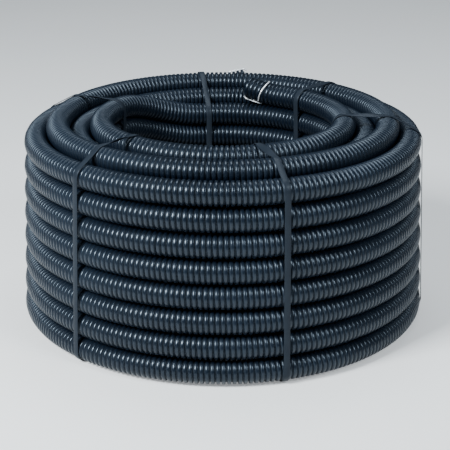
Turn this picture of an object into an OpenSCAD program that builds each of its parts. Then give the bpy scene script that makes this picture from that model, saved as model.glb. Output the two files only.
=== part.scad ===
// Coil of corrugated conduit, standing on its end and tied with six straps.
// The origin is on the coil's axis, on the floor. Z is up, and the front of the coil faces -Y.
// An azimuth is measured round the axis from the front, towards +X.
// The conduit is wound clockwise seen from above: down the first column of turns from its inner
// end, up the second, down the third and up the fourth, to its outer end. A level counts turns
// down from the top, and every second column lies half a level lower, in the hollows of the first.

/* [Conduit] */
// Diameter over the ribs
conduit_od = 20; // [18:0.5:25]
// Depth of a groove between two ribs
groove_depth = 1.8; // [1:0.1:2.2]
// Thickness of the conduit's wall
wall = 0.6; // [0.4:0.1:1]
// Distance from rib to rib
rib_pitch = 4.1; // [4:0.1:5]
// Width of a rib's flat crest
crest_w = 1.6; // [1.2:0.1:1.8]
// Length of a rib's flank along the conduit
flank = 0.4; // [0.2:0.1:0.4]

/* [Coil] */
// Radius of the innermost column of turns at the top, to the middle of the conduit
inner_r = 102.9; // [85:1:130]
// Turns in each column
levels = 8; // [6:1:10]
// Gap between two turns of one column
level_gap = 0.4; // [0.2:0.1:1]
// Gap between neighbouring turns of two columns
nest_gap = 0.9; // [0.4:0.1:1.5]
// How much wider each level is than the one above it
flare = 0.9; // [0:0.1:1.5]
// How far the fill between neighbouring turns reaches past their middles
fill_reach = 5; // [3:0.5:6]

/* [Inner end] */
// Azimuth where the inner end leaves the coil
inner_end_from = 154; // [150:1:158]
// Angle that the inner end tips up
inner_end_tip = 11; // [10:1:15]
// Ribs on the inner end
inner_end_ribs = 6; // [5:1:7]
// Azimuth where the innermost top turn starts to sink to the level below
inner_sink_from = -117; // [-125:1:-116]
// Angle of the coil over which it sinks
inner_sink_span = 51; // [46:1:52]

/* [Outer end] */
// Azimuth where the outer end leaves the coil
outer_end_from = -173.5; // [-176:0.5:-172]
// Angle that the outer end tips up
outer_end_tip = 11; // [9:1:14]
// Ribs on the outer end
outer_end_ribs = 10; // [8:1:11]
// Azimuth where the outermost top turn has risen from the level below
outer_rise_to = 150; // [142:1:152]
// Angle of the coil over which it rises
outer_rise_span = 36; // [30:1:36]

/* [Straps] */
// Width of a strap
strap_w = 5; // [4:0.5:8]
// Thickness of a strap
strap_t = 0.6; // [0.4:0.1:1]
// Clearance between a strap and the turns
strap_gap = 0.2; // [0.1:0.1:0.4]

/* [Draw wire] */
// Diameter of the draw wire
wire_d = 1.2; // [1:0.1:1.2]
// Clearance between the wire and the conduit
wire_gap = 0.2; // [0.15:0.05:0.25]

/* [Hidden] */
strap_azimuths = [16, 83, 135, -172, -113, -42];
black = [0.10, 0.12, 0.15];
grey = [0.26, 0.27, 0.29];
steel = [0.80, 0.82, 0.84];

columns = 4;
outermost = columns - 1;
crest_r = conduit_od / 2;
groove_r = crest_r - groove_depth;
bore_r = groove_r - wall;
seat_r = crest_r + strap_gap;
level_pitch = conduit_od + level_gap;
column_step = sqrt(pow(conduit_od + nest_gap, 2) - pow(level_pitch / 2, 2));

// Level of a column's top turn and of its bottom turn. The innermost and the outermost top turns
// don't close their circles, so the full circles start one level lower there.
function top_level(column) = 1 + (column % 2) / 2;
function bottom_level(column) = levels + (column % 2) / 2;
function full_top(column) = top_level(column) + (column == 0 || column == outermost ? 1 : 0);

// Depth of the bore past the start of an open end, and how far the end laps into the coil
bore_depth = 12;
end_lap = 4;

// How much smaller a round is than the one that it hides in
hair = 0.1;

function turn_r(column, level) = inner_r + column * column_step + flare * (level - 1);
function turn_z(level) = strap_t + seat_r + (levels + 0.5 - level) * level_pitch;
function turn(column, level) = [turn_r(column, level), turn_z(level)];

// How far the fill goes past a column's middle: outwards on the two side columns only
function side_reach(column) = column == 0 ? -fill_reach : column == outermost ? fill_reach : 0;

// The conduit's section, solid where it is closed
module conduit_section(radius = crest_r) {
    circle(radius, $fn = 64);
}

// Section through the closed turns: the turns that show, and the fill behind them
module coil_section() {
    for (column = [0 : outermost])
        for (level = [full_top(column) : bottom_level(column)])
            if (column == 0 || column == outermost || level == full_top(column)
                || level == bottom_level(column))
                translate(turn(column, level)) conduit_section();
    polygon(concat(
        [for (column = [0 : outermost])
            turn(column, bottom_level(column)) + [side_reach(column), -fill_reach]],
        [for (column = [outermost : -1 : 0])
            turn(column, full_top(column)) + [side_reach(column), fill_reach]]
    ));
}

// Section of a top turn that doesn't close, with the fill down to the two turns that carry it
module top_turn_section(column, neighbour) {
    top = top_level(column);
    translate(turn(column, top)) conduit_section();
    polygon([turn(column, top), turn(column, top + 1), turn(neighbour, top_level(neighbour))]);
}

// Places its children on a turn, so that +Y runs along the conduit, -X points to the coil's axis,
// and Z is up. With the winding, the conduit runs clockwise and Z points down.
module on_turn(column, level, azimuth, with_winding) {
    rotate([0, 0, azimuth - 90])
        translate([turn_r(column, level), 0, turn_z(level)])
            rotate([with_winding ? 180 : 0, 0, 0])
                children();
}

// An end of the top turn that leaves the round of the coil, tipped up or down by the given angle
module leave_turn(column, azimuth, tip_up, with_winding) {
    on_turn(column, top_level(column), azimuth, with_winding)
        rotate([with_winding ? -tip_up : tip_up, 0, 0])
            children();
}

// A top turn sinks on a tilted arc, which lands on the middle of the turn below it once it has
// gone the given angle round the coil. A ball rounds the bend where it starts. The arc is thinner
// than the turns, so that it leaves the ball clear of the turn's end and ends inside the turn below.
module sinking_turn(column, azimuth, span, with_winding) {
    start_r = turn_r(column, top_level(column));
    end_r = turn_r(column, top_level(column) + 1);
    tip_down = atan(level_pitch / (end_r * sin(span)));
    ahead = end_r * sin(span) / cos(tip_down);
    inwards = start_r - end_r * cos(span);
    angle = 2 * atan(inwards / ahead);
    radius = ahead / sin(angle);
    ball_r = crest_r - hair;
    leave_turn(column, azimuth, -tip_down, with_winding) {
        sphere(ball_r, $fn = 64);
        translate([-radius, 0, 0])
            rotate_extrude(angle = angle, $fn = 180)
                translate([radius, 0])
                    conduit_section(ball_r * cos(tip_down) - hair);
    }
}

// One straight open end: a corrugated wall turned about +Y, from inside the coil to its mouth
module end_wall(ribs) {
    half_crest = crest_w / 2;
    waves = [for (rib = [0 : ribs - 1])
        let (middle = (rib + 0.5) * rib_pitch)
            each [[groove_r, middle - half_crest - flank], [crest_r, middle - half_crest],
                [crest_r, middle + half_crest], [groove_r, middle + half_crest + flank]]];
    length = ribs * rib_pitch;
    rotate([-90, 0, 0])
        rotate_extrude($fn = 64)
            polygon(concat([[0, -end_lap], [groove_r, -end_lap]], waves,
                [[groove_r, length], [0, length]]));
}

// The bore of an open end, with the hollow behind each rib
module end_bore(ribs) {
    half_hollow = crest_w / 2;
    waves = [for (rib = [0 : ribs - 1])
        let (middle = (rib + 0.5) * rib_pitch)
            each [[bore_r, middle - half_hollow - flank], [crest_r - wall, middle - half_hollow],
                [crest_r - wall, middle + half_hollow], [bore_r, middle + half_hollow + flank]]];
    past_mouth = ribs * rib_pitch + 1;
    rotate([-90, 0, 0])
        rotate_extrude($fn = 64)
            polygon(concat([[0, -bore_depth], [bore_r, -bore_depth]], waves,
                [[bore_r, past_mouth], [0, past_mouth]]));
}

// Places its children at the start of the inner or the outer straight end
module at_inner_end() {
    leave_turn(0, inner_end_from, inner_end_tip, false) children();
}

module at_outer_end() {
    leave_turn(outermost, outer_end_from, outer_end_tip, true) children();
}

// A top turn from one azimuth round the front to another
module top_turn(column, neighbour, from, to) {
    rotate([0, 0, from - 90])
        rotate_extrude(angle = to - from, $fn = 360)
            top_turn_section(column, neighbour);
}

module conduit() {
    color(black)
        difference() {
            union() {
                rotate_extrude($fn = 360) coil_section();
                top_turn(0, 1, inner_sink_from, inner_end_from);
                top_turn(outermost, outermost - 1, outer_end_from, outer_rise_to);
                sinking_turn(0, inner_sink_from, inner_sink_span, true);
                sinking_turn(outermost, outer_rise_to, outer_rise_span, false);
                at_inner_end() end_wall(inner_end_ribs);
                at_outer_end() end_wall(outer_end_ribs);
            }
            at_inner_end() end_bore(inner_end_ribs);
            at_outer_end() end_bore(outer_end_ribs);
        }
}

// Distance of the wire's middle from the conduit's: inside the bore, over the ribs, in a groove
inside = bore_r - wire_gap - wire_d / 2;
over = crest_r + wire_gap + wire_d / 2;
sunk = groove_r + wire_gap + wire_d / 2;
grooves_back = 4;
wrap_groove = grooves_back * rib_pitch;

// Routes of the wire at the two ends, each point as the distance back from the mouth, the angle
// round the conduit from the side of the coil's axis upwards, and the distance from its middle
inner_route = [
    [20, -90, inside], [12, -90, inside], [4, -90, inside], [0, -90, inside],
    [-1.8, -89, (inside + over) / 2], [0, -86, over], [5, -80, over], [10, -73, over],
    [wrap_groove - 1, -80, over], [wrap_groove, -92, over], [wrap_groove, -102, over],
    [wrap_groove, -120, sunk], [wrap_groove, -150, sunk], [wrap_groove, -180, sunk],
    [wrap_groove, -210, sunk],
    [wrap_groove, -225, over], [wrap_groove, -235, over], [wrap_groove + 2, -252, over],
    [wrap_groove + 3, -266, over],
    [wrap_groove + 3, -290, over], [wrap_groove + 1.5, -330, over], [wrap_groove, -370, over],
    [wrap_groove - 0.5, -395, over]
];
outer_route = [
    [20, 90, inside], [12, 90, inside], [4, 90, inside], [0, 90, inside],
    [-1.8, 90, (inside + over) / 2], [0, 90, over], [7, 92, over], [13, 94, over],
    [wrap_groove - 1, 88, over], [wrap_groove, 76, over], [wrap_groove, 64, over],
    [wrap_groove, 46, sunk], [wrap_groove, 10, sunk], [wrap_groove, -30, sunk]
];

// A point on the smooth curve through four points in a row, t of the way from the second on
function between(a, b, c, d, t) =
    b + t * ((c - a) / 2 + t * (a - 2.5 * b + 2 * c - d / 2 + t * (1.5 * (b - c) + (d - a) / 2)));

// Points along a route, with the given number of steps from one of its points to the next
function smooth(route, steps) = [
    for (i = [0 : len(route) - 2])
        for (k = [0 : steps - (i == len(route) - 2 ? 0 : 1)])
            between(route[max(i - 1, 0)], route[i], route[i + 1], route[min(i + 2, len(route) - 1)],
                k / steps)
];

// A route's point in the frame of the straight end, with up as +1 or -1 along Z
function placed(point, length, up) =
    [-point[2] * cos(point[1]), length - point[0], up * point[2] * sin(point[1])];

function unit(v) = v / norm(v);
function square_to(v, along) = unit(v - (v * along) * along);

// Direction along a line at each of its points, and a direction square to it that doesn't twist
function headings(line) = [for (i = [0 : len(line) - 1])
    unit(line[min(i + 1, len(line) - 1)] - line[max(i - 1, 0)])];
function sides(along, first, i = 0) =
    i == len(along) ? [] :
        let (side = square_to(first, along[i])) concat([side], sides(along, side, i + 1));

// A round wire along a line of points
module wire(line, diameter) {
    corners = 8;
    along = headings(line);
    side = sides(along, [1, 0, 0]);
    rings = [for (i = [0 : len(line) - 1]) for (k = [0 : corners - 1])
        line[i] + diameter / 2 * (cos(360 * k / corners) * side[i]
            + sin(360 * k / corners) * cross(along[i], side[i]))];
    last = (len(line) - 1) * corners;
    walls = [for (i = [0 : len(line) - 2]) for (k = [0 : corners - 1])
        let (a = i * corners + k, b = i * corners + (k + 1) % corners)
            each [[a, a + corners, b], [b, a + corners, b + corners]]];
    polyhedron(rings, concat(walls, [[for (k = [0 : corners - 1]) k],
        [for (k = [corners - 1 : -1 : 0]) last + k]]));
}

function wire_line(route, ribs, up) =
    [for (point = smooth(route, 3)) placed(point, ribs * rib_pitch, up)];

module draw_wire() {
    color(steel) {
        at_inner_end() wire(wire_line(inner_route, inner_end_ribs, 1), wire_d);
        at_outer_end() wire(wire_line(outer_route, outer_end_ribs, -1), wire_d);
    }
}

// Level of the innermost top turn where a strap crosses it: it is one lower past where it sinks
function inner_level_at(azimuth) =
    azimuth > inner_sink_from && azimuth < inner_end_from ? top_level(0) : full_top(0);

// Middles of the turns that a taut strap bends round, anticlockwise in the radius and height plane
function strap_corners(azimuth) = [
    turn(outermost, bottom_level(outermost)),
    turn(outermost, top_level(outermost)),
    turn(outermost - 1, top_level(outermost - 1)),
    turn(0, inner_level_at(azimuth)),
    turn(0, bottom_level(0)),
    turn(1, bottom_level(1))
];

// Closed line that wraps the corners at the given distance, in short flats round each turn
function wrapped(corners, reach) = [
    for (i = [0 : len(corners) - 1])
        let (count = len(corners),
            before = corners[i] - corners[(i + count - 1) % count],
            after = corners[(i + 1) % count] - corners[i],
            from = atan2(-before[0], before[1]),
            swing = (atan2(-after[0], after[1]) - from + 360) % 360,
            flats = max(1, ceil(swing / 18)),
            step = swing / flats)
            for (k = [0 : flats - 1])
                let (angle = from + (k + 0.5) * step)
                    corners[i] + reach / cos(step / 2) * [cos(angle), sin(angle)]
];

module strap(azimuth) {
    corners = strap_corners(azimuth);
    color(grey)
        rotate([0, 0, azimuth - 90])
            rotate([90, 0, 0])
                linear_extrude(height = strap_w, center = true)
                    difference() {
                        polygon(wrapped(corners, seat_r + strap_t));
                        polygon(wrapped(corners, seat_r));
                    }
}

for (i = [1 : len(strap_azimuths)])
    strap(strap_azimuths[i - 1]);
conduit();
draw_wire();
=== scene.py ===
# Looks of a strapped coil of corrugated conduit: the ribs of its turns, its two open ends, its
# straps, the finishes of these and of the draw wire, and the studio round it. Sizes are in metres.
# The coil's axis is Z and its front faces -Y. An azimuth is in degrees from the front towards +X.
# Columns of turns are counted outwards from the eye of the coil, and levels down from the top.
import math

import bpy
import numpy as np
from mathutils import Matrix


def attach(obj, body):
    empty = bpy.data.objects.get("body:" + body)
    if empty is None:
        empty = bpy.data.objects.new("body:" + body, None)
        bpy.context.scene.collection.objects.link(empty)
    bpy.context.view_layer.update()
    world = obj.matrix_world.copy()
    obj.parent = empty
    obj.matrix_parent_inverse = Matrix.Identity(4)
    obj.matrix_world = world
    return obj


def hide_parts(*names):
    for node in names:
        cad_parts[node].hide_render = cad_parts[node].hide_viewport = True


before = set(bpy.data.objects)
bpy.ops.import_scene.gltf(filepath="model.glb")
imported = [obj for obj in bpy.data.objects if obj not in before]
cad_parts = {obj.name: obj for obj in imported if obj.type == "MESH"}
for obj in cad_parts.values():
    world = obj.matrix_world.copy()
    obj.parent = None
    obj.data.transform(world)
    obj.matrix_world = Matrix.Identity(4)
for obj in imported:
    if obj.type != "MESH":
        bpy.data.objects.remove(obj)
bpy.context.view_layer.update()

MM = 0.001

# Conduit
CREST_RADIUS = 10 * MM
GROOVE_RADIUS = 8.2 * MM
WALL = 0.6 * MM
BORE_DEPTH = 36 * MM
RIB_PITCH = 4.1 * MM
CIRCLE_POINTS = 18
# One rib: distances from its middle in rib pitches, and heights from 0, groove, to 1, crest
RIB_PROFILE = np.array([[-0.36, 0], [-0.3, 0.82], [-0.18, 1], [0.18, 1], [0.3, 0.82], [0.36, 0]])
# Rounded rim of a mouth, from its bore outwards: distances from the mouth, and shares of the wall
RIM_DISTANCES = np.array([0.3, 0, 0, 0.3]) * MM
RIM_SHARES = np.array([1, 0.8, 0.2, 0])

# Coil
COLUMN_A, COLUMN_B, COLUMN_C, COLUMN_D = range(4)
LEVELS = 8
HALF_LEVEL = 0.5
INNER_RADIUS = 102.9 * MM
LEVEL_PITCH = 20.4 * MM
# Distance from a turn to the nearest ones of the next column, half a level above and below it
NEST_PITCH = 20.9 * MM
COLUMN_STEP = math.sqrt(NEST_PITCH ** 2 - (LEVEL_PITCH / 2) ** 2)
# How much wider each level is than the one above it
FLARE = 0.9 * MM

# Free ends: where each leaves the coil, its ribs, and the angle that both are tipped up by
INNER_END_AZIMUTH = 154
OUTER_END_AZIMUTH = -173.5
INNER_END_RIBS = 6
OUTER_END_RIBS = 10
TIPPED_UP = 11

# Places and spans of the winding's moves between levels and columns
CROSS_SPAN = 33
# How many times as fast a crossing sinks as it shifts, to pass under the next turn
SINK_AHEAD = 1.4
INNER_SINK_FROM = -117
INNER_SINK_SPAN = 51
INNER_RISE_AFTER_CROSSING = 323
INNER_RISE_SPAN = 37
OUTER_SINK_FROM = 144
OUTER_SINK_SPAN = 44
# Turns between the outer line's sinking and its crossing, which lie on one circle
OUTER_SINK_TURNS = 2
OUTER_CROSS_FROM = 166
OUTER_RISE_FROM = 186
OUTER_RISE_SPAN = 36
# How much further round the lowest rise starts than the highest
OUTER_RISE_DRIFT = 4
# Stretches of the two lines beyond these moves, where they are cut off inside the coil
INNER_TAIL = 13
OUTER_TAIL = 8

# Middle lines
AZIMUTH_STEP = 0.5
FREE_END_POINTS = 24
LINE_STEP = 0.5 * MM
EASED_OVER = 14 * MM
EASINGS = 2
# Distance to either side over which a line's direction is taken
DIRECTION_REACH = 1 * MM

# Pieces that each wound end is cut into
INNER_PIECES = 3
OUTER_PIECES = 4

# Straps
STRAP_WIDTH = 5 * MM
STRAP_THICKNESS = 0.6 * MM
# Radius round a turn's middle at which a strap lies, just clear of the crests
SEAT_RADIUS = 10.2 * MM
# Azimuth of each, lean of its outer and its inner run in millimetres, and twist on top in degrees
STRAPS = [(16, 2.5, -0.8, 48), (83, 0.6, -0.6, 25), (135, 1.2, 0.3, 20),
          (-172, 2.2, -0.6, 12), (-113, 1.8, 2.4, 30), (-42, 0.8, -2.4, 42)]
# Section: places across the width and through the thickness, in halves of each
STRAP_SECTION = np.array([[-1, -0.5], [-0.9, -1], [0, -1], [0.9, -1], [1, -0.5],
                          [1, 0.5], [0.9, 0.9], [0, 1], [-0.9, 0.9], [-1, 0.5]])
# Number of the corner that comes before the flat on top, which twists
TOP_FLAT = 2
ARC_STEP = 6
FLAT_STEPS = 17
# Share of the lean that is left at the bottom
LEAN_AT_BOTTOM = 0.4
DRIFT = 0.4 * MM
RIPPLE = 0.3 * MM
RIPPLE_WAVES = 3

# Camera
CAMERA_PLACE = (0.0009, -1.038, 0.4556)
CAMERA_LOOKS_DOWN = 20.36
CAMERA_LENS = 100.93
CAMERA_SENSOR = 36
CAMERA_SHIFT = 0.0024

# Studio
FLOOR_HALF = 4.0
SURROUND_COLOUR = (0.62, 0.8, 1.0, 1)
SURROUND_STRENGTH = 0.18
LIT_POINT = (0, 0, 0.1)
# Name of each light, its place, the side of its square, its power and its colour
LIGHTS = [("key", (-0.8, -0.74, 0.98), 0.42, 52, (0.9, 0.96, 1.0)),
          ("fill", (0.8, -0.76, 0.98), 0.42, 14, (0.88, 0.95, 1.0)),
          ("top", (0.1, 0.45, 1.6), 0.8, 14, (0.88, 0.95, 1.0))]


def top_level(column):
    """Level of a column's top turn: every second column lies half a level lower."""
    return 1 + HALF_LEVEL * (column % 2)


def bottom_level(column):
    """Level of a column's bottom turn."""
    return top_level(column) + LEVELS - 1


def turn_radius(column, level):
    """Radius of a turn's middle: each column is a step wider, and each level a flare wider."""
    return INNER_RADIUS + column * COLUMN_STEP + FLARE * (level - 1)


def turn_height(level):
    """Height of a turn's middle: the outermost column's bottom turn lies on the straps, and the
    others are a pitch higher for each level."""
    return STRAP_THICKNESS + SEAT_RADIUS + (bottom_level(COLUMN_D) - level) * LEVEL_PITCH


def smoothstep(t):
    """3t^2 - 2t^3, held at 0 before t = 0 and at 1 after t = 1."""
    t = np.clip(t, 0, 1)
    return t * t * (3 - 2 * t)


def on_turn(azimuth, column, level):
    """Points (r sin a, -r cos a) at the height of the level, for an array of azimuths a."""
    angle = np.radians(azimuth)
    radius = turn_radius(column, level)
    height = turn_height(level) + 0 * angle
    return np.stack([radius * np.sin(angle), -radius * np.cos(angle), height], axis=-1)


def wound(start, stop, column, level, moves):
    """Middle line of a stretch of winding, clockwise from the start azimuth to the stop azimuth.
    Each move is its first azimuth, its span, and the columns and levels that it shifts by, eased
    in and out by a smoothstep of the share of its span."""
    azimuth = np.arange(start, stop, -AZIMUTH_STEP)
    columns = np.full(len(azimuth), float(column))
    levels = np.full(len(azimuth), float(level))
    for first, span, across, down in moves:
        t = (first - azimuth) / span
        columns += across * smoothstep(t)
        levels += down * smoothstep(t * (SINK_AHEAD if across else 1))
    return on_turn(azimuth, columns, levels)


def free_end(azimuth, column, level, turning, ribs):
    """Straight stretch of an open end, from its mouth back to the coil: the tangent of the turn,
    tipped up. Turning is +1 where the end points to growing azimuths, and -1 otherwise."""
    angle = math.radians(azimuth)
    tip = math.radians(TIPPED_UP)
    along = np.array([turning * math.cos(angle) * math.cos(tip),
                      turning * math.sin(angle) * math.cos(tip), math.sin(tip)])
    base = on_turn(np.array([azimuth]), column, level)[0]
    back = np.linspace(ribs * RIB_PITCH, 0, FREE_END_POINTS, endpoint=False)
    return base + back[:, None] * along


def evened(points):
    """The line resampled at an even step, with its bends eased by a moving average that is taken
    a few times. Both ends are held, by turning the line round them for the average."""
    lengths = np.concatenate([[0], np.cumsum(np.linalg.norm(np.diff(points, axis=0), axis=1))])
    even = np.arange(0, lengths[-1], LINE_STEP)
    line = np.stack([np.interp(even, lengths, points[:, k]) for k in range(3)], axis=-1)
    half = int(EASED_OVER / LINE_STEP / 2)
    kernel = np.ones(2 * half + 1) / (2 * half + 1)
    for _ in range(EASINGS):
        before = 2 * line[0] - line[half:0:-1]
        after = 2 * line[-1] - line[-2:-half - 2:-1]
        padded = np.concatenate([before, line, after])
        line = np.stack([np.convolve(padded[:, k], kernel, "valid") for k in range(3)], axis=-1)
    return line


def unit(vectors):
    """Vectors divided by their lengths."""
    return vectors / np.linalg.norm(vectors, axis=-1, keepdims=True)


class Line:
    """A middle line, with a frame at any distance along it."""

    def __init__(self, points):
        steps = np.linalg.norm(np.diff(points, axis=0), axis=1)
        self.at = np.concatenate([[0], np.cumsum(steps)])
        self.points = points
        self.length = self.at[-1]

    def point(self, distance):
        """Points at an array of distances, straight between those that are given."""
        return np.stack([np.interp(distance, self.at, self.points[:, k]) for k in range(3)], axis=-1)

    def frames(self, distance):
        """Points at an array of distances, and two directions square to the line: out from the
        coil's axis, with the part along the line taken away, and along the line times out."""
        point = self.point(distance)
        ahead = self.point(np.minimum(distance + DIRECTION_REACH, self.length))
        behind = self.point(np.maximum(distance - DIRECTION_REACH, 0))
        along = unit(ahead - behind)
        radial = unit(point * [1, 1, 0])
        out = unit(radial - np.sum(radial * along, axis=-1, keepdims=True) * along)
        return point, out, np.cross(along, out)


def mesh_object(name, points, faces):
    """A smoothly shaded mesh at the origin, from an array of points and a list of faces."""
    mesh = bpy.data.meshes.new(name)
    mesh.from_pydata(points.tolist(), [], faces)
    mesh.polygons.foreach_set("use_smooth", np.ones(len(mesh.polygons), bool))
    mesh.update()
    piece = bpy.data.objects.new(name, mesh)
    bpy.context.scene.collection.objects.link(piece)
    return piece


def ring_faces(rings, sides, closed):
    """Quads of a grid of rings, closed round each ring, and end to end where it is a loop."""
    i = np.arange(rings if closed else rings - 1)[:, None]
    k = np.arange(sides)[None, :]
    ahead = (i + 1) % rings
    beside = (k + 1) % sides
    corners = [i * sides + k, i * sides + beside, ahead * sides + beside, ahead * sides + k]
    return np.stack([np.broadcast_to(c, (len(i), sides)).ravel() for c in corners], axis=-1)


def end_fans(rings, sides):
    """Triangles that close the first and the last ring of a grid, each round one of the two
    points that come after the grid's own."""
    k = np.arange(sides)
    beside = (k + 1) % sides
    last = (rings - 1) * sides
    start = np.full(sides, rings * sides)
    return np.concatenate([np.stack([start, beside, k], axis=-1),
                           np.stack([last + k, last + beside, start + 1], axis=-1)])


def swept(name, line, distance, radius, height, closed=False):
    """Circles carried along a line: point + radius (cos w out + sin w up), one at each distance.
    An open run is closed by a point in the middle of each end. The height is kept on the points
    as the rib attribute, for the finish."""
    point, out, up = line.frames(distance)
    angle = np.linspace(0, 2 * math.pi, CIRCLE_POINTS, endpoint=False)[:, None]
    spoke = np.cos(angle) * out[:, None] + np.sin(angle) * up[:, None]
    points = (point[:, None] + radius[:, None, None] * spoke).reshape(-1, 3)
    faces = ring_faces(len(distance), CIRCLE_POINTS, closed).tolist()
    heights = np.repeat(height, CIRCLE_POINTS)
    if not closed:
        points = np.concatenate([points, point[[0, -1]]])
        heights = np.concatenate([heights, height[[0, -1]]])
        faces += end_fans(len(distance), CIRCLE_POINTS).tolist()
    piece = mesh_object(name, points, faces)
    rib = piece.data.attributes.new("rib", "FLOAT", "POINT")
    rib.data.foreach_set("value", heights.astype(np.float32))
    return piece


def rib_stations(first, count):
    """Distances along the conduit and heights of a run of ribs, by repeating one rib's profile."""
    middles = (first + np.arange(count) + 0.5)[:, None]
    distance = (middles + RIB_PROFILE[None, :, 0]) * RIB_PITCH
    height = np.broadcast_to(RIB_PROFILE[None, :, 1], distance.shape)
    return distance.ravel(), height.ravel()


def rib_radius(height, inset=0):
    """Radius of the surface: the groove's, less the inset, and the crest's at a height of 1."""
    return GROOVE_RADIUS - inset + height * (CREST_RADIUS - GROOVE_RADIUS)


def ribbed(name, line, first, count):
    """A run of ribs on the outside of the conduit, with a blind end hidden in the coil."""
    distance, height = rib_stations(first, count)
    distance = np.concatenate([[first * RIB_PITCH], distance, [(first + count) * RIB_PITCH]])
    height = np.concatenate([[0], height, [0]])
    return swept(name, line, distance, rib_radius(height), height)


def ribbed_from_mouth(name, line, count):
    """A run of ribs from an open mouth: the surface starts at the blind bottom of the bore, goes
    out along its wall, a wall's thickness inside the ribs, round the rim and back outside."""
    bore, bore_height = rib_stations(0, int(BORE_DEPTH / RIB_PITCH))
    bore, bore_height = bore[::-1], bore_height[::-1]
    outside, outside_height = rib_stations(0, count)
    outside = np.append(outside, count * RIB_PITCH)
    outside_height = np.append(outside_height, 0)
    distance = np.concatenate([bore, RIM_DISTANCES, outside])
    height = np.concatenate([bore_height, np.zeros(len(RIM_SHARES)), outside_height])
    radius = np.concatenate([rib_radius(bore_height, WALL), rib_radius(0, RIM_SHARES * WALL),
                             rib_radius(outside_height)])
    return swept(name, line, distance, radius, height)


def ribbed_ring(name, column):
    """A column's top turn as one closed ring, with a whole number of ribs round it."""
    azimuth = np.linspace(0, -360, round(360 / AZIMUTH_STEP) + 1)
    line = Line(on_turn(azimuth, column, top_level(column)))
    count = round(line.length / RIB_PITCH)
    distance, height = rib_stations(0, count)
    distance = distance * line.length / (count * RIB_PITCH)
    return swept(name, line, distance, rib_radius(height), height, closed=True)


def inner_line():
    """The innermost column from its mouth: down eight levels, one in each turn between the left
    side and the back, then out to the bottom of the next column and up into the coil."""
    cross_from = INNER_SINK_FROM - 360 * (LEVELS - 1)
    rise_from = cross_from - INNER_RISE_AFTER_CROSSING
    moves = [(INNER_SINK_FROM - 360 * k, INNER_SINK_SPAN, 0, 1) for k in range(LEVELS - 1)]
    moves += [(cross_from, CROSS_SPAN, 1, HALF_LEVEL), (rise_from, INNER_RISE_SPAN, 0, -1)]
    stop = rise_from - INNER_RISE_SPAN - INNER_TAIL
    coil = wound(INNER_END_AZIMUTH, stop, COLUMN_A, top_level(COLUMN_A), moves)
    end = free_end(INNER_END_AZIMUTH, COLUMN_A, top_level(COLUMN_A), 1, INNER_END_RIBS)
    return Line(evened(np.concatenate([end, coil])))


def outer_line():
    """The outermost column from its mouth: the winding followed backwards, down eight levels, one
    in each turn at the back, then in to the bottom of the column inside it, round there and up
    into the coil. It is built in the order of the winding and turned round at the end."""
    rises = LEVELS - 1
    sink_from = OUTER_SINK_FROM + 360 * (rises + OUTER_SINK_TURNS)
    cross_from = OUTER_CROSS_FROM + 360 * rises
    moves = [(sink_from, OUTER_SINK_SPAN, 0, 1), (cross_from, CROSS_SPAN, 1, HALF_LEVEL)]
    for k in range(rises):
        turns_left = rises - 1 - k
        rise_from = OUTER_RISE_FROM + OUTER_RISE_DRIFT * turns_left / (rises - 1)
        moves.append((rise_from + 360 * turns_left, OUTER_RISE_SPAN, 0, -1))
    first_level = bottom_level(COLUMN_C) - 1
    coil = wound(sink_from + OUTER_TAIL, OUTER_END_AZIMUTH, COLUMN_C, first_level, moves)
    end = free_end(OUTER_END_AZIMUTH, COLUMN_D, top_level(COLUMN_D), -1, OUTER_END_RIBS)
    return Line(evened(np.concatenate([coil, end[::-1]])[::-1]))


def wound_pieces(side, line, parts):
    """One wound end, cut after whole ribs into parts of equal length, from its mouth on."""
    ribs = int(line.length / RIB_PITCH) - 1
    size = math.ceil(ribs / parts)
    pieces = [ribbed_from_mouth(f"conduit_{side}_1", line, size)]
    for k in range(1, parts):
        count = min(size, ribs - k * size)
        pieces.append(ribbed(f"conduit_{side}_{k + 1}", line, k * size, count))
    return pieces


def build_conduit():
    """The conduit: both wound ends, and the top turns of the two middle columns, which show."""
    pieces = wound_pieces("inner", inner_line(), INNER_PIECES)
    pieces += wound_pieces("outer", outer_line(), OUTER_PIECES)
    pieces.append(ribbed_ring("conduit_second_column_top", COLUMN_B))
    pieces.append(ribbed_ring("conduit_third_column_top", COLUMN_C))
    return pieces


def strap_corners(azimuth):
    """Middles of the turns that the strap bends round, in the plane of radius and height. The
    innermost column's top turn is there only between its sinking and its mouth."""
    top = 1 if INNER_SINK_FROM < azimuth < INNER_END_AZIMUTH else 2
    turns = [(COLUMN_D, bottom_level(COLUMN_D)), (COLUMN_D, top_level(COLUMN_D)),
             (COLUMN_C, top_level(COLUMN_C)), (COLUMN_A, top),
             (COLUMN_A, bottom_level(COLUMN_A)), (COLUMN_B, bottom_level(COLUMN_B))]
    return np.array([[turn_radius(column, level), turn_height(level)] for column, level in turns])


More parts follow.
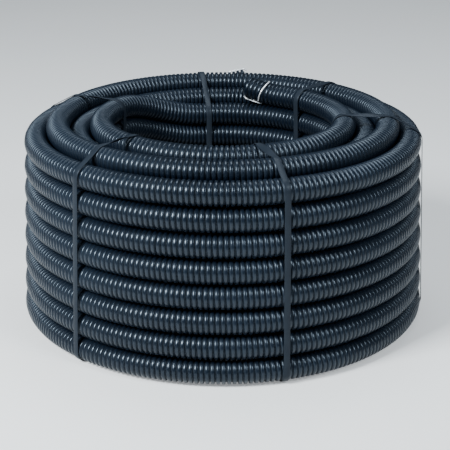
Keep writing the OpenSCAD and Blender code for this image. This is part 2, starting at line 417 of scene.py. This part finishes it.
def wrapped(corners, reach):
    """Closed line pulled taut round circles of one radius: an arc round each corner, with its
    outward direction at each point, and flats between the arcs cut in short steps. Each point
    also gets the number of its corner plus its share of the way along the flat after it."""
    points, normals, stages = [], [], []
    count = len(corners)
    share = np.linspace(0, 1, FLAT_STEPS + 1)[1:-1]
    for i in range(count):
        before = corners[i] - corners[i - 1]
        after = corners[(i + 1) % count] - corners[i]
        start = math.atan2(-before[0], before[1])
        swing = (math.atan2(-after[0], after[1]) - start) % (2 * math.pi)
        arc_points = max(2, math.ceil(math.degrees(swing) / ARC_STEP))
        angle = start + np.linspace(0, swing, arc_points)
        normal = np.stack([np.cos(angle), np.sin(angle)], axis=-1)
        arc = corners[i] + reach * normal
        straight = arc[-1] + share[:, None] * after
        points += [arc, straight]
        normals += [normal, np.broadcast_to(normal[-1], straight.shape)]
        stages += [np.full(len(arc), float(i)), i + share]
    return np.concatenate(points), np.concatenate(normals), np.concatenate(stages)


def build_strap(number, azimuth, outer_lean, inner_lean, top_twist):
    """A strap: its section carried along the taut line. It leans sideways, by a smoothstep from
    the lean of the inner run to that of the outer one, less towards the bottom, and drifts by two
    sines of the way round it. It twists by a squared sine along the flat on top."""
    line, normal, stage = wrapped(strap_corners(azimuth), SEAT_RADIUS + STRAP_THICKNESS / 2)
    angle = math.radians(azimuth)
    out = np.array([math.sin(angle), -math.cos(angle), 0])
    side = np.array([math.cos(angle), math.sin(angle), 0])
    up = np.array([0, 0, 1])
    low = line.min(axis=0)
    high = line.max(axis=0)
    share = (line - low) / (high - low)
    lean = inner_lean + (outer_lean - inner_lean) * smoothstep(share[:, 0])
    lean = lean * (LEAN_AT_BOTTOM + (1 - LEAN_AT_BOTTOM) * share[:, 1])
    way = np.linspace(0, 2 * math.pi, len(line), endpoint=False)
    phase = np.random.default_rng(number).uniform(0, 2 * math.pi, 2)
    shift = lean * MM + DRIFT * np.sin(way + phase[0]) + RIPPLE * np.sin(RIPPLE_WAVES * way + phase[1])
    twist = np.radians(top_twist) * np.sin(math.pi * np.clip(stage - TOP_FLAT, 0, 1)) ** 2
    twist = twist[:, None]
    middle = line[:, :1] * out + line[:, 1:] * up + shift[:, None] * side
    outward = normal[:, :1] * out + normal[:, 1:] * up
    flat = np.cos(twist) * side + np.sin(twist) * outward
    proud = np.cos(twist) * outward - np.sin(twist) * side
    across = STRAP_SECTION[:, :1] * STRAP_WIDTH / 2
    through = STRAP_SECTION[:, 1:] * STRAP_THICKNESS / 2
    points = middle[:, None] + across * flat[:, None] + through * proud[:, None]
    # The section runs the other way round the line than a circle does, so its faces are turned over
    faces = ring_faces(len(line), len(STRAP_SECTION), closed=True)[:, ::-1]
    return mesh_object(f"strap_{number}_band", points.reshape(-1, 3), faces.tolist())


class Value:
    """A socket that carries a number, with the shader's arithmetic written as Python's."""

    def __init__(self, finish, socket):
        self.finish = finish
        self.socket = socket

    def math(self, operation, first, second):
        """The result of a Math node with two inputs."""
        return self.finish.value("ShaderNodeMath", {"operation": operation}, {0: first, 1: second})

    def __add__(self, other):
        return self.math("ADD", self, other)

    def __rsub__(self, other):
        return self.math("SUBTRACT", other, self)

    def __mul__(self, other):
        return self.math("MULTIPLY", self, other)

    __radd__ = __add__
    __rmul__ = __mul__


class Finish:
    """A material and its nodes."""

    def __init__(self, name, **sockets):
        self.material = bpy.data.materials.new(name)
        self.material.use_nodes = True
        self.tree = self.material.node_tree
        self.shader = self.tree.nodes["Principled BSDF"]
        self.feed(**sockets)

    def join(self, value, socket):
        """Links a socket to what a value or another socket gives, or sets it to a constant."""
        source = value.socket if isinstance(value, Value) else value
        if isinstance(source, bpy.types.NodeSocket):
            self.tree.links.new(source, socket)
        else:
            socket.default_value = source

    def feed(self, **sockets):
        """Joins values to the shader's sockets, whose names have underscores for spaces."""
        for name, value in sockets.items():
            label = name.replace("_", " ").title().replace("Ior", "IOR")
            self.join(value, self.shader.inputs[label])

    def node(self, kind, settings, inputs):
        """A node of a type, with its settings and then its sockets' values or links."""
        node = self.tree.nodes.new(kind)
        for name, value in settings.items():
            setattr(node, name, value)
        for key, value in inputs.items():
            self.join(value, node.inputs[key])
        return node

    def value(self, kind, settings, inputs, output=0):
        """The number that a node gives."""
        return Value(self, self.node(kind, settings, inputs).outputs[output])

    def noise(self, waves, detail):
        """Noise of a number of waves in a metre, from 0 to 1, by the place in the frame."""
        place = self.node("ShaderNodeTexCoord", {}, {}).outputs["Object"]
        return self.value("ShaderNodeTexNoise", {}, {"Vector": place, "Scale": waves, "Detail": detail})

    def ramp(self, factor, low, high):
        """0 below low, 1 above high, and even between them."""
        return self.value("ShaderNodeMapRange", {"clamp": True},
                          {"Value": factor, "From Min": low, "From Max": high})

    def mix(self, factor, first, second):
        """A colour between two colours."""
        sockets = {"Factor": factor, "A": first, "B": second}
        return self.node("ShaderNodeMix", {"data_type": "RGBA"}, sockets).outputs["Result"]

    def bump(self, height, distance, strength):
        """A normal bent by a height, which counts for the distance where it is 1."""
        sockets = {"Height": height, "Distance": distance, "Strength": strength}
        return self.node("ShaderNodeBump", {}, sockets).outputs["Normal"]


def conduit_plastic():
    """Navy-black plastic: glossy on the crests and duller on the flanks of the ribs, with faint
    patches of dust, thicker in the grooves, and fine grain."""
    finish = Finish("black conduit plastic", ior=1.5, specular_ior_level=0.42,
                    specular_tint=(0.73, 0.87, 1, 1))
    rib = finish.value("ShaderNodeAttribute", {"attribute_name": "rib"}, {}, "Fac")
    patches = finish.noise(waves=14, detail=4)
    grain = finish.noise(waves=900, detail=2)
    dust = finish.ramp(patches + 0.25 * (1 - rib), low=0.45, high=0.95)
    flank = finish.ramp(1 - rib, low=0.06, high=0.4)
    clean = (0.0018, 0.004, 0.0085, 1)
    dusty = (0.0045, 0.0088, 0.0165, 1)
    finish.feed(base_color=finish.mix(dust, clean, dusty),
                roughness=0.24 + 0.1 * dust + 0.08 * grain + 0.3 * flank,
                normal=finish.bump(grain, distance=0.08 * MM, strength=0.5))
    return finish.material


def strap_plastic():
    """Dark grey strapping film: a weak sheen, in soft clouds of two greys, and fine grain."""
    finish = Finish("grey strap film", ior=1.5, specular_ior_level=0.12,
                    specular_tint=(0.8, 0.9, 1, 1))
    cloud = finish.noise(waves=60, detail=3)
    grain = finish.noise(waves=700, detail=2)
    dark = (0.007, 0.01, 0.015, 1)
    paler = (0.016, 0.021, 0.028, 1)
    finish.feed(base_color=finish.mix(cloud, dark, paler),
                roughness=0.3 + 0.2 * cloud,
                normal=finish.bump(grain, distance=0.1 * MM, strength=0.6))
    return finish.material


def wire_steel():
    """Bright drawn steel, with faint dull patches."""
    finish = Finish("bright steel wire", metallic=0.85)
    patches = finish.noise(waves=260, detail=3)
    bright = (0.94, 0.96, 0.98, 1)
    dull = (0.82, 0.84, 0.86, 1)
    finish.feed(base_color=finish.mix(patches, bright, dull), roughness=0.34 + 0.2 * patches)
    return finish.material


def pale_ground():
    """Pale matte ground in two near tones, with a faint glow of its own that lifts the shadow."""
    finish = Finish("pale ground", roughness=0.9, emission_color=(0.94, 0.97, 1, 1),
                    emission_strength=0.3)
    shade = finish.noise(waves=3, detail=2)
    finish.feed(base_color=finish.mix(shade, (0.62, 0.62, 0.61, 1), (0.66, 0.66, 0.65, 1)))
    return finish.material


def build_camera():
    """The camera that fits the photograph's outline: in front of the coil, looking down on it."""
    data = bpy.data.cameras.new("camera")
    data.sensor_width = CAMERA_SENSOR
    data.sensor_fit = "HORIZONTAL"
    data.lens = CAMERA_LENS
    data.shift_x = CAMERA_SHIFT
    camera = bpy.data.objects.new("camera", data)
    camera.location = CAMERA_PLACE
    camera.rotation_euler = (math.radians(90 - CAMERA_LOOKS_DOWN), 0, 0)
    bpy.context.scene.collection.objects.link(camera)
    bpy.context.scene.camera = camera


def build_light(name, place, size, power, colour):
    """A square area light: it looks down until it is tilted to the lit point, and is then turned
    towards its azimuth."""
    data = bpy.data.lights.new(name, "AREA")
    data.size = size
    data.energy = power
    data.color = colour
    light = bpy.data.objects.new(name, data)
    light.location = place
    aim = np.array(LIT_POINT) - np.array(place)
    tilt = math.atan2(math.hypot(aim[0], aim[1]), -aim[2])
    light.rotation_euler = (tilt, 0, math.atan2(aim[1], aim[0]) - math.pi / 2)
    bpy.context.scene.collection.objects.link(light)


def build_studio():
    """A pale floor, a dim even surround, and soft lights: in front to the left and right, and
    above."""
    corners = np.array([[-1, -1, 0], [1, -1, 0], [1, 1, 0], [-1, 1, 0]]) * FLOOR_HALF
    floor = mesh_object("floor", corners, [(0, 1, 2, 3)])
    floor.data.materials.append(pale_ground())
    world = bpy.data.worlds.new("surround")
    world.use_nodes = True
    background = world.node_tree.nodes["Background"]
    background.inputs["Color"].default_value = SURROUND_COLOUR
    background.inputs["Strength"].default_value = SURROUND_STRENGTH
    bpy.context.scene.world = world
    for light in LIGHTS:
        build_light(*light)


build_camera()
plastic = conduit_plastic()
for piece in build_conduit():
    piece.data.materials.append(plastic)
    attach(piece, "root")
    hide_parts("conduit")
film = strap_plastic()
for number, strap in enumerate(STRAPS, start=1):
    band = build_strap(number, *strap)
    band.data.materials.append(film)
    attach(band, "root")
    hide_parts(f"strap_{number}")
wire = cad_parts["draw_wire"]
steel = wire_steel()
for slot in wire.material_slots:
    slot.material = steel
build_studio()
